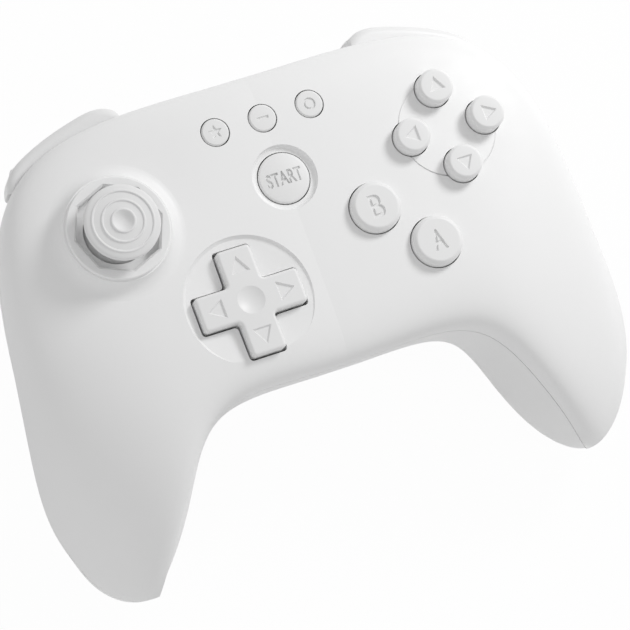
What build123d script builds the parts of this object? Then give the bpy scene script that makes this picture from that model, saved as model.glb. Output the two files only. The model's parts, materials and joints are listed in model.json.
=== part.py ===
from build123d import *
import os
from math import cos, hypot, radians, sin, sqrt

os.makedirs("parts", exist_ok=True)

# A gamepad lying face up: +X to the player's right, +Y towards the shoulder buttons, +Z out of the face.
# The origin is under the middle of the whole pad, on the surface it stands on.

# Whole body
half_width = 76.9          # centre line to the widest control point of one side
body_length = 110.5        # front edge to the grip tips
front_reach = 27.4         # front edge from the big middle button
seam_drop = 28.0           # how far the seam falls below the face at the grip tips
face_level = 46.2          # face above the table
back_shift = 24.16         # puts the origin under the middle of the pad's length
wall = 2.2                 # shell thickness
seam_gap = 0.3             # open line between the two shells
face_lift = 10.0           # height that the lift shares of the face are multiplied by
back_depth = 40.0          # depth that the back shell's shares are multiplied by
back_flare = 8.0           # how far the back shell swells beyond the seam
cut = 90.0                 # overrun of every through cut
running = 0.05             # radial clearance of a turning fit
seat = 0.1                 # gap between a moving piece and what stops it
thinnest_share = 0.3       # least part of a skin's height that the hollow under it keeps

# Plan of the seam, one row per station from the centre line out to a grip tip:
# share of half_width, share of body_length back from the front edge, share of seam_drop
outer_shares = (
    (0, 0, 0.23), (0.15, 0, 0.23), (0.46, 0.002, 0.26), (0.83, -0.04, 0.34), (1.0, 0.01, 0.40),
    (0.957, 0.245, 0.36), (0.915, 0.485, 0.47), (1.015, 0.615, 0.64), (1.055, 0.73, 0.84),
    (0.95, 0.87, 0.98),
)
inner_shares = (
    (0, 0.665, 0.27), (0.09, 0.665, 0.27), (0.235, 0.667, 0.28), (0.43, 0.642, 0.27), (0.53, 0.645, 0.24),
    (0.515, 0.73, 0.27), (0.565, 0.82, 0.38), (0.675, 0.885, 0.50), (0.69, 0.94, 0.80),
    (0.742, 0.989, 0.985),
)
tip_shares = (
    (0.95, 0.87, 0.98), (0.935, 0.90, 1.03), (0.915, 0.925, 1.07), (0.885, 0.95, 1.10),
    (0.85, 0.972, 1.11), (0.815, 0.985, 1.08), (0.778, 0.99, 1.04), (0.742, 0.989, 0.985),
)
# Where the control points lie across each station, from the outer seam to the inner one
across_shares = (0, 0, 0.045, 0.30, 0.68, 0.95, 1, 1)
# Height of the face over the seam, share of face_lift, one row per station
lift_shares = (
    (0, 0.71, 0.94, 0.58, 0.58, 0.94, 0.71, 0), (0, 0.76, 0.98, 0.60, 0.60, 0.98, 0.76, 0),
    (0, 0.79, 1.04, 0.70, 0.70, 1.04, 0.79, 0), (0, 0.77, 1.08, 0.80, 0.80, 1.08, 0.77, 0),
    (0, 0.70, 1.06, 0.84, 0.82, 1.02, 0.66, 0), (0, 0.68, 1.10, 0.94, 0.90, 1.00, 0.60, 0),
    (0, 0.66, 1.20, 1.10, 1.04, 1.06, 0.60, 0), (0, 0.66, 1.20, 1.18, 1.14, 1.10, 0.62, 0),
    (0, 0.34, 0.54, 0.62, 0.62, 0.52, 0.34, 0), (0, 0, 0, 0, 0, 0, 0, 0),
)
# Depth of the back shell under the seam, share of back_depth, one row per station
depth_shares = (
    (0, 0.24, 0.98, 1.33, 1.06, 0.78, 0.33, 0), (0, 0.24, 0.98, 1.33, 1.06, 0.78, 0.33, 0),
    (0, 0.24, 0.96, 1.30, 1.06, 0.78, 0.33, 0), (0, 0.20, 0.88, 1.22, 1.04, 0.79, 0.35, 0),
    (0, 0.17, 0.70, 1.16, 1.00, 0.80, 0.43, 0), (0, 0.13, 0.56, 1.02, 0.98, 0.90, 0.52, 0),
    (0, 0.11, 0.54, 0.94, 0.94, 0.95, 0.62, 0), (0, 0.12, 0.55, 0.88, 0.90, 0.90, 0.62, 0),
    (0, 0.13, 0.32, 0.50, 0.60, 0.56, 0.42, 0), (0, 0, 0, 0, 0, 0, 0, 0),
)
# Swelling of the back shell beyond the seam, share of back_flare: outer side, then inner side
swell_shares = (
    (0, 0.06), (0, 0.06), (0, 0.06), (0, 0.25), (0, 0.55), (0, 0.85), (0, 1.1), (0.08, 1.15),
    (0.1, 0.7), (0, 0),
)


def spot(x, y, height):
    """A level plane, placed from the middle of the big centre button."""
    return Plane(origin=(x, y + back_shift, face_level + height))


def seam_point(shares, drop):
    x, back, fall = shares
    return [x * half_width, front_reach - back * body_length, -fall * seam_drop - drop]


def inward(before, after, side):
    run, rise = after[0] - before[0], after[1] - before[1]
    size = hypot(run, rise)
    return side * rise / size, -side * run / size


def moved_in(points, inset, side, start_square):
    moved = []
    last = len(points) - 1
    for i, point in enumerate(points):
        nx, ny = inward(points[max(i - 1, 0)], points[min(i + 1, last)], side)
        if i < 2 and start_square:
            nx, ny = 0, -side
        moved.append([point[0] + nx * inset, point[1] + ny * inset, point[2]])
    return moved


def rims(inset, drop):
    outer = moved_in([seam_point(s, drop) for s in outer_shares], inset, 1, True)
    inner = moved_in([seam_point(s, drop) for s in inner_shares], inset, -1, True)
    tip = moved_in([seam_point(s, drop) for s in tip_shares], inset, 1, False)
    tip[0] = outer[-1]
    tip[-1] = [(inner[-1][0] + tip[-1][0]) / 2, (inner[-1][1] + tip[-1][1]) / 2, tip[-1][2]]
    inner[-1] = tip[-1]
    return outer, inner, tip


def net(inset, drop, rows, unit, swell):
    """Control points of one skin over the right half: stations by places across."""
    outer, inner, tip = rims(inset, drop)
    last = len(outer) - 1
    points = []
    for k in range(last + 1):
        row = []
        ends = max(k - 1, 0), min(k + 1, last)
        out_x, out_y = inward(outer[ends[0]], outer[ends[1]], -1)
        in_x, in_y = inward(inner[ends[0]], inner[ends[1]], 1)
        if k < 2:
            out_x, out_y, in_x, in_y = 0, 1, 0, -1
        for j, across in enumerate(across_shares):
            x, y, z = [a + (b - a) * across for a, b in zip(outer[k], inner[k])]
            if k == last or (k == last - 1 and 0 < j < len(across_shares) - 1):
                x, y, z = tip[j]
            if swell and 0 < j < 3:
                x, y = x + out_x * swell[k][0] * back_flare, y + out_y * swell[k][0] * back_flare
            if swell and len(across_shares) - 4 < j < len(across_shares) - 1:
                x, y = x + in_x * swell[k][1] * back_flare, y + in_y * swell[k][1] * back_flare
            row.append([x, y, z + rows[k][j] * unit])
        points.append(row)
    return points


def flat_net(inset, drop):
    outer, inner, tip = rims(inset, drop)
    last = len(outer) - 1
    count = len(across_shares) - 1
    points = []
    for k in range(last + 1):
        row = []
        for j in range(count + 1):
            point = [a + (b - a) * j / count for a, b in zip(outer[k], inner[k])]
            if k == last:
                point = tip[j]
            row.append(point)
        points.append(row)
    return points


def standing(points):
    return [[(x, y + back_shift, z + face_level) for x, y, z in row] for row in points]


def closed_half(first, second):
    """The solid between two skins that share their rims, with a flat side on the centre line."""
    first, second = standing(first), standing(second)
    skins = [Face.make_bezier_surface(first), Face.make_bezier_surface(second)]
    edges = [Edge.make_bezier(*first[0]), Edge.make_bezier(*second[0])]
    side = Face(Wire(edges))
    return Solid(Shell(skins + [side]))


def lowered(rows, amount, unit):
    """Rows of shares with every height over the rim cut by a wall."""
    return [[max(share - amount / unit, thinnest_share * share) for share in row] for row in rows]


def deeper(rows):
    return [[-share for share in row] for row in rows]


# Stick, left of the face
stick_share, stick_y = -0.56632, -0.5           # places across the face are shares of half_width
stick_x = stick_share * half_width
mound_radius, mound_rise, mound_blend_share = 12.9, 2.9, 0.05202
mound_blend = mound_blend_share * half_width
mound_margin = 0.5                              # slack when picking the edge round the mound's foot
gate_radius, gate_plate, gate_corner = 12.45, 1.05, 10.6
gate_skirt, gate_skirt_wall, gate_depth = 11.6, 0.7, 6.2
gate_bevel, gate_round = 0.5, 0.35
pivot_depth = 8.0                               # tilting centre below the face
cap_radius, cap_top, cap_rim = 9.1, 10.4, 2.1
cap_ring_shares = (0.32, 0.59, 0.785, 0.86)     # where the rings on the cap change level
cap_step, cap_dish_depth, cap_edge = 0.35, 0.9, 0.5
cap_dish_share = (0.67, 0.6)                    # point on the dimple's curve, across and down
neck_radius, neck_flare = 4.3, 1.0
dome_radius, dome_wall, dome_reach = 10.0, 0.8, 58
shaft_radius, shaft_top = 2.2, 6.0
cross_pin = 0.7
yoke_outer, yoke_inner, yoke_height, yoke_pin = 5.6, 4.2, 2.2, 0.8
module_radius, module_wall, module_rise, module_mouth = 6.8, 0.7, 3.8, 4.5
sensor_side, sensor_thick, sensor_height = 6.0, 1.2, 3.4

# Cross pad
pad_share, pad_y = -0.24447, -25.85
pad_x = pad_share * half_width
pad_dish, pad_dish_depth, pad_dish_edge, pad_dish_step = 16.0, 1.3, 0.6, 0.55
pad_bowl_share = 0.75                           # how deep the bowl is halfway out
pad_reach, pad_half, pad_gap = 13.15, 4.3, 0.5
pad_corner, pad_top, pad_edge = 1.0, 1.5, 0.7
pad_dimple, pad_dimple_depth = 3.4, 0.8
pad_flange, pad_flange_thick, pad_flange_drop = 14.6, 1.0, 4.6
pad_plate, pad_plate_drop = 17.0, 3.2
pad_boss, pad_boss_drop = 3.0, 6.1
ball_radius, ball_drop, socket_gap = 1.9, 6.7, 0.1
post_radius, post_drop = 2.7, 7.3
pad_dome_out, pad_dome_drop = 9.6, 7.0

# Round buttons
button_gap = 0.28
well_wall, well_drop = 1.5, 4.2
flange_out, flange_thick = 1.2, 1.0
travel = 1.2
big_radius, big_rise, big_edge = 6.2, 2.65, 0.9
a_share, a_y = 0.38687, -26.0
b_share, b_y = 0.23732, -13.75
c_share, c_y, c_pitch, c_radius, c_rise, c_edge = 0.55917, -0.07, 9.9, 4.36, 3.6, 0.6
a_x, b_x, c_x = a_share * half_width, b_share * half_width, c_share * half_width
groove_radius, groove_width, groove_depth, groove_tilt = 12.23, 0.35, 0.5, 2.0
start_radius, start_rise, start_dome = 6.3, 0.1, 0.45
start_dish, start_dish_depth, start_dish_foot = 8.1, 0.9, 1.2
start_dish_shares = (0.33, 0.67)
small_radius, small_rise, small_edge = 3.35, 0.55, 0.3
small_share, small_y = 0.15956, 15.3
small_pitch = small_share * half_width

# Board, battery and screws. What lies inside is set back from the front edge
board_drop, pcb_thick = 12.0, 1.2
board_share = 0.75423
pcb_half = board_share * half_width
pcb_shares = (0.30, 0.33, 0.93, 1.0, 1.0, 0.76)
pcb_sets = (3.4, 13.96, 13.96, 23.32)
pcb_back_shares = (0.37394, 0.61068)
dome_base, rubber_dome, rubber_gap, sheet_margin, dome_round = 1.0, 3.0, 0.25, 2.2, 0.5
pad_sheet_margin = 0.8
battery_length, battery_width, battery_thick = 52.0, 32.0, 9.0
battery_corner, battery_edge = 2.0, 1.0
battery_back_share, battery_drop = 0.32036, 17.0
battery_y = front_reach - battery_back_share * body_length
rib_thick, rib_count, rib_spread = 1.6, 3, 20.0
post_share, post_set, mid_post_back_share = 0.29259, 8.9, 0.58733
post_x, post_y = post_share * half_width, front_reach - post_set
mid_post_y = front_reach - mid_post_back_share * body_length
grip_post_share, grip_post_back_share = 0.79324, 0.8
grip_post_x, grip_post_y = grip_post_share * half_width, front_reach - grip_post_back_share * body_length
front_post, back_post, split_drop, grip_split, post_gap = 2.9, 4.1, 14.6, 22.0, 0.8
screw_radius, screw_head, screw_head_thick, screw_slot = 1.2, 2.4, 1.8, 0.5
screw_grip, screw_under, head_gap = 6.0, 8.0, 0.3
pcb_post_share, pcb_post_set, pcb_low_share, pcb_low_back_share = 0.28609, 25.4, 0.51365, 0.56923
pcb_post_x, pcb_post_y = pcb_post_share * half_width, front_reach - pcb_post_set
pcb_low_x, pcb_low_y = pcb_low_share * half_width, front_reach - pcb_low_back_share * body_length
pcb_post, pcb_screw, pcb_head, pcb_head_thick, pcb_grip = 2.2, 0.9, 1.9, 1.2, 4.0
foot_length, foot_width, foot_corner, foot_back_share, foot_deep, foot_edge = 40.0, 20.0, 4.0, 0.30226, 4.5, 0.5
foot_y = front_reach - foot_back_share * body_length

# Rumble motors
motor_share, motor_back_share, motor_drop = 0.78023, 0.57376, 25.0
motor_x, motor_y = motor_share * half_width, front_reach - motor_back_share * body_length
motor_radius, motor_length, motor_shaft, motor_edge = 7.5, 14.0, 1.0, 0.6
weight_radius, weight_length, weight_gap, weight_boss = 7.0, 5.0, 0.8, 2.0
cradle_width, cradle_length, cradle_gap = 12.0, 10.0, 0.1

# Socket and pairing button on the front edge
port_width, port_height, port_depth, port_wall, port_corner = 8.9, 3.2, 8.0, 0.35, 1.2
port_set = 0.4
port_front = front_reach - port_set
port_tongue_width, port_tongue_height, port_tongue_length = 6.4, 0.7, 6.0
pair_share, pair_drop = 0.18205, 16.2
pair_x = pair_share * half_width
pair_radius, pair_length, pair_flange, pair_flange_thick = 1.6, 5.2, 2.5, 0.8
pair_flange_set, pair_stem, pair_stem_radius, pair_travel = 4.6, 1.2, 0.9, 0.7
pair_flange_front = front_reach - pair_flange_set
pair_switch_side, pair_switch_height = 4.0, 4.6

# Shoulder buttons, in a frame that follows the shoulder's edge
turn, fall = 18.0, 4.2
shoulder_share, shoulder_set = 0.61769, 2.9
shoulder_x, shoulder_y = shoulder_share * half_width, front_reach - shoulder_set
bumper_half, bumper_reach, bumper_back = 16.5, 4.2, 3.0
bumper_shares = ((-1.0, 0.05), (-0.86, 0.55), (-0.45, 0.93), (0, 1.0), (0.45, 0.88), (0.84, 0.4), (1.0, -0.35))
bumper_top, bumper_bottom, bumper_edge, bumper_slant = 9.1, 19.6, 2.2, 1.5
lug_x, lug_y, lug_radius, lug_pin, lug_top = -14.5, -7.8, 2.6, 1.2, 11.5
trigger_left, trigger_right, trigger_wall = -12.0, 9.0, 1.8
trigger_top, trigger_fall, trigger_out = 20.5, 19.5, 5.0
trigger_shares = ((0.36, 0), (0.8, 0.09), (1.0, 0.31), (0.75, 0.69), (0, 1.0))
trigger_back, trigger_chin, trigger_web = 1.8, 9.0, 5.0
hinge_y, hinge_drop, hinge_radius, hinge_pin = -10.5, 23.6, 2.9, 1.5
spring_radius, spring_wire, spring_pitch, spring_turns = 2.1, 0.25, 0.8, 4
ear_thick, ear_gap, ear_radius = 1.7, 0.6, 2.8
plate_back, plate_thick, plate_top, plate_bottom = 14.0, 1.5, 15.5, 28.0
shelf_front, shelf_side = 6.4, 3.4
switch_side, switch_tall, plunger_radius, plunger_front = 3.2, 4.0, 0.6, 4.3
pocket_gap, pocket_back, pocket_low_back = 0.8, 4.6, 9.0

c_places = {
    "up": (c_x, c_y + c_pitch), "down": (c_x, c_y - c_pitch),
    "left": (c_x - c_pitch, c_y), "right": (c_x + c_pitch, c_y),
}
small_places = {"star": (-small_pitch, small_y), "minus": (0, small_y), "home": (small_pitch, small_y)}
wells = [(a_x, a_y, big_radius), (b_x, b_y, big_radius), (0, 0, start_radius)]
wells += [(x, y, c_radius) for x, y in c_places.values()]
wells += [(x, y, small_radius) for x, y in small_places.values()]
top_posts = [(post_x, post_y), (-post_x, post_y), (0, mid_post_y)]
grip_posts = [(grip_post_x, grip_post_y), (-grip_post_x, grip_post_y)]
post_groups = ((top_posts, split_drop), (grip_posts, grip_split))
pcb_posts = [(pcb_post_x, pcb_post_y), (-pcb_post_x, pcb_post_y), (pcb_low_x, pcb_low_y), (-pcb_low_x, pcb_low_y)]
motor_places = [(motor_x, motor_y), (-motor_x, motor_y)]
bracket_left = trigger_left - ear_gap - ear_thick
bracket_right = trigger_right + ear_gap + ear_thick
upright = {"x_dir": (1, 0, 0), "z_dir": (0, -1, 0)}      # a plane seen from the grips' side, its y up
facing_out = {"x_dir": (-1, 0, 0), "z_dir": (0, 1, 0)}   # a plane across the front edge


def discs(places, height, radius, amount):
    """Upright round bars on the same plane."""
    with BuildPart() as made:
        with BuildSketch(spot(0, 0, height)):
            with Locations(*places):
                Circle(radius)
        extrude(amount=amount)
    return made.part


def shoulder(x, y, height):
    """A plane in the right shoulder's frame: x along the edge, y outwards."""
    a, b = radians(turn), radians(fall)
    along = Vector(cos(a) * cos(b), -sin(a) * cos(b), -sin(b))
    up = Vector(cos(a) * sin(b), -sin(a) * sin(b), cos(b))
    out = up.cross(along)
    origin = Vector(shoulder_x, shoulder_y + back_shift, face_level) + along * x + out * y + up * height
    return Plane(origin=origin, x_dir=along, z_dir=up)


def shoulder_side(x):
    """The plane across the shoulder frame at x, with its own x outwards and its own y up."""
    base = shoulder(x, 0, 0)
    return Plane(origin=base.origin, x_dir=base.y_dir, z_dir=base.x_dir)


def mirrored(part):
    with BuildPart() as made:
        add(part)
        mirror(about=Plane.YZ, mode=Mode.REPLACE)
    return made.part


# Solid skins of both shells, and the hollow between them
with BuildPart() as front_body:
    add(closed_half(net(0, 0, lift_shares, face_lift, None), flat_net(0, 0)))
    mirror(about=Plane.YZ)

with BuildPart() as back_body:
    add(closed_half(net(0, seam_gap, deeper(depth_shares), back_depth, swell_shares), flat_net(0, seam_gap)))
    mirror(about=Plane.YZ)

with BuildPart() as cavity:
    add(closed_half(
        net(wall, 0, lowered(lift_shares, wall, face_lift), face_lift, None),
        net(wall, 0, deeper(lowered(depth_shares, wall, back_depth)), back_depth, swell_shares),
    ))
    mirror(about=Plane.YZ)

# Front shell: the wells, plate and posts that stay solid under the face, then the shell itself
well_walls = [discs([(x, y)], -well_drop, radius + button_gap + well_wall, cut) for x, y, radius in wells]
pad_backing = discs([(pad_x, pad_y)], -pad_plate_drop, pad_plate, cut)
mound_wall = discs([(stick_x, stick_y)], -wall, mound_radius, cut)
front_posts = [discs(places, -split, front_post, cut) for places, split in post_groups]
board_posts = discs(pcb_posts, -board_drop, pcb_post, cut)
with BuildPart() as front_void:
    add(cavity.part)
    add([*well_walls, pad_backing, mound_wall, *front_posts, board_posts], mode=Mode.SUBTRACT)

with BuildPart() as front_shell:
    add(front_body.part)
    with BuildSketch(spot(stick_x, stick_y, mound_rise)):
        Circle(mound_radius)
    extrude(amount=-mound_rise - wall)
    mound_foot = [
        edge for edge in front_shell.edges()
        if hypot(edge.center().X - stick_x, edge.center().Y - stick_y - back_shift) < mound_radius + mound_margin
        and abs(edge.center().Z - face_level) < mound_rise / 2 and edge.length > mound_radius
    ]
    fillet(mound_foot, mound_blend)
    with BuildSketch(Plane(origin=(pad_x, pad_y + back_shift, face_level), **upright)):
        with BuildLine():
            Polyline(
                (0, -pad_dish_depth), (0, pad_dish_depth), (pad_dish + pad_dish_edge, pad_dish_depth),
                (pad_dish, 0), (pad_dish - pad_dish_edge, -pad_dish_step),
            )
            ThreePointArc(
                (pad_dish - pad_dish_edge, -pad_dish_step),
                (pad_dish / 2, -pad_dish_step - (pad_dish_depth - pad_dish_step) * pad_bowl_share),
                (0, -pad_dish_depth),
            )
        make_face()
    revolve(axis=Axis((pad_x, pad_y + back_shift, face_level), (0, 0, 1)), mode=Mode.SUBTRACT)
    with BuildSketch(Plane(origin=(0, back_shift, face_level), **upright)):
        with BuildLine():
            Polyline(
                (start_dish - start_dish_foot, -start_dish_depth), (0, -start_dish_depth),
                (0, start_dish_depth), (start_dish, start_dish_depth), (start_dish, 0),
            )
            ThreePointArc(
                (start_dish, 0),
                (start_dish - start_dish_foot * start_dish_shares[0], -start_dish_depth * start_dish_shares[1]),
                (start_dish - start_dish_foot, -start_dish_depth),
            )
        make_face()
    revolve(axis=Axis((0, back_shift, face_level), (0, 0, 1)), mode=Mode.SUBTRACT)
    add(front_void.part, mode=Mode.SUBTRACT)
    with BuildSketch(spot(0, 0, -cut)):
        for x, y, radius in wells:
            with Locations((x, y)):
                Circle(radius + button_gap)
        with Locations((stick_x, stick_y)):
            Circle(gate_skirt + running)
    extrude(amount=2 * cut, mode=Mode.SUBTRACT)
    with BuildSketch(spot(pad_x, pad_y, -cut)) as cross_hole:
        Rectangle(2 * (pad_reach + pad_gap), 2 * (pad_half + pad_gap))
        Rectangle(2 * (pad_half + pad_gap), 2 * (pad_reach + pad_gap))
        fillet(cross_hole.vertices(), pad_corner)
    extrude(amount=2 * cut, mode=Mode.SUBTRACT)
    tilted = Plane(
        origin=(c_x, c_y + back_shift, face_level - groove_depth),
        x_dir=(cos(radians(groove_tilt)), 0, -sin(radians(groove_tilt))),
        z_dir=(sin(radians(groove_tilt)), 0, cos(radians(groove_tilt))),
    )
    with BuildSketch(tilted):
        Circle(groove_radius + groove_width / 2)
        Circle(groove_radius - groove_width / 2, mode=Mode.SUBTRACT)
    extrude(amount=c_rise, mode=Mode.SUBTRACT)
    for places, split in post_groups:
        with BuildSketch(spot(0, 0, -split)):
            with Locations(*places):
                Circle(screw_radius + running)
        extrude(amount=screw_grip, mode=Mode.SUBTRACT)
    with BuildSketch(spot(0, 0, -board_drop)):
        with Locations(*pcb_posts):
            Circle(pcb_screw + running)
    extrude(amount=pcb_grip, mode=Mode.SUBTRACT)
front_shell.part.label = "front_shell"
export_step(front_shell.part, "parts/front_shell.step")

# Back shell: posts, battery ribs, motor cradles and bracket ribs that stay solid inside it
back_posts = [discs(places, -split, back_post, -cut) for places, split in post_groups]
with BuildPart() as battery_ribs:
    with BuildSketch(spot(0, battery_y, -battery_drop - battery_thick)):
        with GridLocations(rib_spread, 0, rib_count, 1):
            Rectangle(rib_thick, battery_width)
    extrude(amount=-cut)
with BuildPart() as cradles:
    with BuildSketch(spot(0, 0, -motor_drop)):
        with Locations(*motor_places):
            Rectangle(cradle_width, cradle_length)
    extrude(amount=-cut)
with BuildPart() as bracket_rib:
    with BuildSketch(shoulder((bracket_left + bracket_right) / 2, -plate_back - plate_thick / 2, -plate_bottom)):
        Rectangle(bracket_right - bracket_left, 2 * plate_thick)
    extrude(amount=-cut)
kept = [*back_posts, battery_ribs.part, cradles.part, bracket_rib.part, mirrored(bracket_rib.part)]
with BuildPart() as back_void:
    add(cavity.part)
    add(kept, mode=Mode.SUBTRACT)

# Openings of the right shoulder: a wide one for the bumper, a narrower one below it for the trigger
with BuildPart() as shoulder_pocket:
    with BuildSketch(shoulder(0, cut / 2 - pocket_back, -bumper_bottom - pocket_gap)):
        Rectangle(2 * (bumper_half + pocket_gap), cut)
    extrude(amount=cut)
    with BuildSketch(shoulder(lug_x, -(pocket_back + plate_back) / 2, -bumper_bottom - 2 * seat - plate_thick)):
        Rectangle(2 * (lug_radius + pocket_gap), plate_back - pocket_back)
    extrude(amount=cut)
    with BuildSketch(shoulder((trigger_left + trigger_right) / 2, cut / 2 - pocket_low_back, -bumper_bottom)):
        Rectangle(trigger_right - trigger_left + 2 * pocket_gap, cut)
    extrude(amount=-cut)

with BuildPart() as foot:
    with BuildSketch(Plane.XY):
        with Locations((0, foot_y + back_shift)):
            RectangleRounded(foot_length, foot_width, foot_corner)
    extrude(amount=foot_deep)
    fillet(foot.edges().group_by(Axis.Z)[0], foot_edge)

with BuildPart() as back_shell:
    add(back_body.part)
    add(back_void.part, mode=Mode.SUBTRACT)
    add(foot.part)
    add([shoulder_pocket.part, mirrored(shoulder_pocket.part)], mode=Mode.SUBTRACT)
    with BuildSketch(Plane.XY):
        Rectangle(4 * half_width, 4 * half_width)
    extrude(amount=-cut, mode=Mode.SUBTRACT)
    with BuildSketch(Plane(origin=(0, motor_y + back_shift + motor_length, face_level - motor_drop), **upright)):
        with Locations((motor_x, 0), (-motor_x, 0)):
            Circle(motor_radius + cradle_gap)
    extrude(amount=2 * motor_length, mode=Mode.SUBTRACT)
    for places, split in post_groups:
        with BuildSketch(spot(0, 0, -split)):
            with Locations(*places):
                Circle(screw_radius + seat)
        extrude(amount=-screw_under, mode=Mode.SUBTRACT)
        with BuildSketch(spot(0, 0, -split - screw_under)):
            with Locations(*places):
                Circle(screw_head + head_gap)
        extrude(amount=-cut, mode=Mode.SUBTRACT)
    port_level = face_level - board_drop - pcb_thick - port_height / 2
    with BuildSketch(Plane(origin=(0, port_front + back_shift - port_depth, port_level), **facing_out)):
        RectangleRounded(port_width + 2 * seat, port_height + 2 * seat, port_corner + seat)
    extrude(amount=2 * port_depth, mode=Mode.SUBTRACT)
    with BuildSketch(Plane(origin=(pair_x, pair_flange_front + back_shift, face_level - pair_drop), **facing_out)):
        Circle(pair_radius + seat)
    extrude(amount=port_depth, mode=Mode.SUBTRACT)
back_shell.part.label = "back_shell"
export_step(back_shell.part, "parts/back_shell.step")

# Ring that frames the stick
with BuildPart() as stick_gate_ring:
    with BuildSketch(spot(stick_x, stick_y, mound_rise)):
        Circle(gate_radius)
    extrude(amount=gate_plate)
    fillet(stick_gate_ring.edges().group_by(Axis.Z)[-1], gate_round)
    with BuildSketch(spot(stick_x, stick_y, mound_rise)):
        Circle(gate_skirt)
        Circle(gate_skirt - gate_skirt_wall, mode=Mode.SUBTRACT)
    extrude(amount=-gate_depth)
    with BuildSketch(spot(stick_x, stick_y, mound_rise)):
        RegularPolygon(gate_corner, 8)
    extrude(amount=gate_plate, mode=Mode.SUBTRACT)
    chamfer(stick_gate_ring.edges().filter_by(GeomType.LINE).group_by(Axis.Z)[-1], gate_bevel)
stick_gate_ring.part.label = "stick_gate_ring"
export_step(stick_gate_ring.part, "parts/stick_gate_ring.step")

# Stick: its cap with the dome that closes the ring, drawn from the tilting centre
pivot = (stick_x, stick_y + back_shift, face_level - pivot_depth)
cap_height = pivot_depth + cap_top
ring_1, ring_2, ring_3, ring_4 = [share * cap_radius for share in cap_ring_shares]
bore = shaft_radius + running
inner_dome = dome_radius - dome_wall


def on_dome(radius, angle):
    return radius * sin(radians(angle)), radius * cos(radians(angle))


with BuildPart() as stick_cap:
    with BuildSketch(Plane(origin=pivot, **upright)):
        with BuildLine():
            Polyline(
                (bore, sqrt(inner_dome ** 2 - bore ** 2)), (bore, pivot_depth + shaft_top + seat),
                (0, pivot_depth + shaft_top + seat), (0, cap_height - cap_step - cap_dish_depth),
            )
            ThreePointArc(
                (0, cap_height - cap_step - cap_dish_depth),
                (ring_1 * cap_dish_share[0], cap_height - cap_step - cap_dish_depth * cap_dish_share[1]),
                (ring_1, cap_height - cap_step),
            )
            Polyline(
                (ring_1, cap_height - cap_step), (ring_1 + cap_step, cap_height), (ring_2, cap_height),
                (ring_2 + cap_step, cap_height - cap_step), (ring_3, cap_height - cap_step),
                (ring_3 + cap_step, cap_height), (ring_4 + cap_step, cap_height),
                (cap_radius - cap_edge, cap_height - cap_edge / 2), (cap_radius, cap_height - cap_edge),
                (cap_radius, cap_height - cap_rim), (neck_radius, cap_height - cap_rim - neck_flare),
                (neck_radius, sqrt(dome_radius ** 2 - neck_radius ** 2)),
            )
            ThreePointArc(
                (neck_radius, sqrt(dome_radius ** 2 - neck_radius ** 2)),
                on_dome(dome_radius, dome_reach * 3 / 4), on_dome(dome_radius, dome_reach),
            )
            Line(on_dome(dome_radius, dome_reach), on_dome(inner_dome, dome_reach))
            ThreePointArc(
                on_dome(inner_dome, dome_reach), on_dome(inner_dome, dome_reach / 2),
                (bore, sqrt(inner_dome ** 2 - bore ** 2)),
            )
        make_face()
    revolve(axis=Axis(pivot, (0, 0, 1)))
stick_cap.part.label = "stick_cap"
export_step(stick_cap.part, "parts/stick_cap.step")

# Shaft with its cross pin, the yoke that tilts the other way, and the housing of both
with BuildPart() as stick_shaft:
    with BuildSketch(spot(stick_x, stick_y, -pivot_depth - shaft_radius)):
        Circle(shaft_radius)
    extrude(amount=shaft_radius + pivot_depth + shaft_top)
    with BuildSketch(Plane(origin=pivot, **upright)):
        Circle(cross_pin)
    extrude(amount=yoke_outer - running, both=True)
stick_shaft.part.label = "stick_shaft"
export_step(stick_shaft.part, "parts/stick_shaft.step")

with BuildPart() as stick_yoke:
    with BuildSketch(spot(stick_x, stick_y, -pivot_depth - yoke_height / 2)):
        Circle(yoke_outer)
    extrude(amount=yoke_height)
    with BuildSketch(Plane(origin=pivot, x_dir=(0, 1, 0), z_dir=(1, 0, 0))):
        Circle(yoke_pin)
    extrude(amount=module_radius - running, both=True)
    with BuildSketch(spot(stick_x, stick_y, -pivot_depth - yoke_height / 2)):
        Circle(yoke_inner)
    extrude(amount=yoke_height, mode=Mode.SUBTRACT)
    with BuildSketch(Plane(origin=pivot, **upright)):
        Circle(cross_pin + running)
    extrude(amount=cut, both=True, mode=Mode.SUBTRACT)
stick_yoke.part.label = "stick_yoke"
export_step(stick_yoke.part, "parts/stick_yoke.step")

with BuildPart() as stick_module:
    with BuildSketch(spot(stick_x, stick_y, -board_drop)):
        Circle(module_radius)
    extrude(amount=board_drop - pivot_depth + module_rise)
    with BuildSketch(spot(stick_x, stick_y, -board_drop + module_wall)):
        Circle(module_radius - module_wall)
    extrude(amount=board_drop - pivot_depth + module_rise - 2 * module_wall, mode=Mode.SUBTRACT)
    with BuildSketch(spot(stick_x, stick_y, -pivot_depth)):
        Circle(module_mouth)
    extrude(amount=pivot_depth, mode=Mode.SUBTRACT)
    with BuildSketch(Plane(origin=pivot, x_dir=(0, 1, 0), z_dir=(1, 0, 0))):
        Circle(yoke_pin + running)
    extrude(amount=cut, both=True, mode=Mode.SUBTRACT)
stick_module.part.label = "stick_module"
export_step(stick_module.part, "parts/stick_module.step")

sensor_out = module_radius + seat + sensor_thick / 2
with BuildPart() as stick_sensors:
    with BuildSketch(spot(stick_x, stick_y, -board_drop)):
        with Locations((sensor_out, 0)):
            Rectangle(sensor_thick, sensor_side)
        with Locations((0, -sensor_out)):
            Rectangle(sensor_side, sensor_thick)
    extrude(amount=sensor_height)
stick_sensors.part.label = "stick_sensors"
export_step(stick_sensors.part, "parts/stick_sensors.step")

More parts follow.
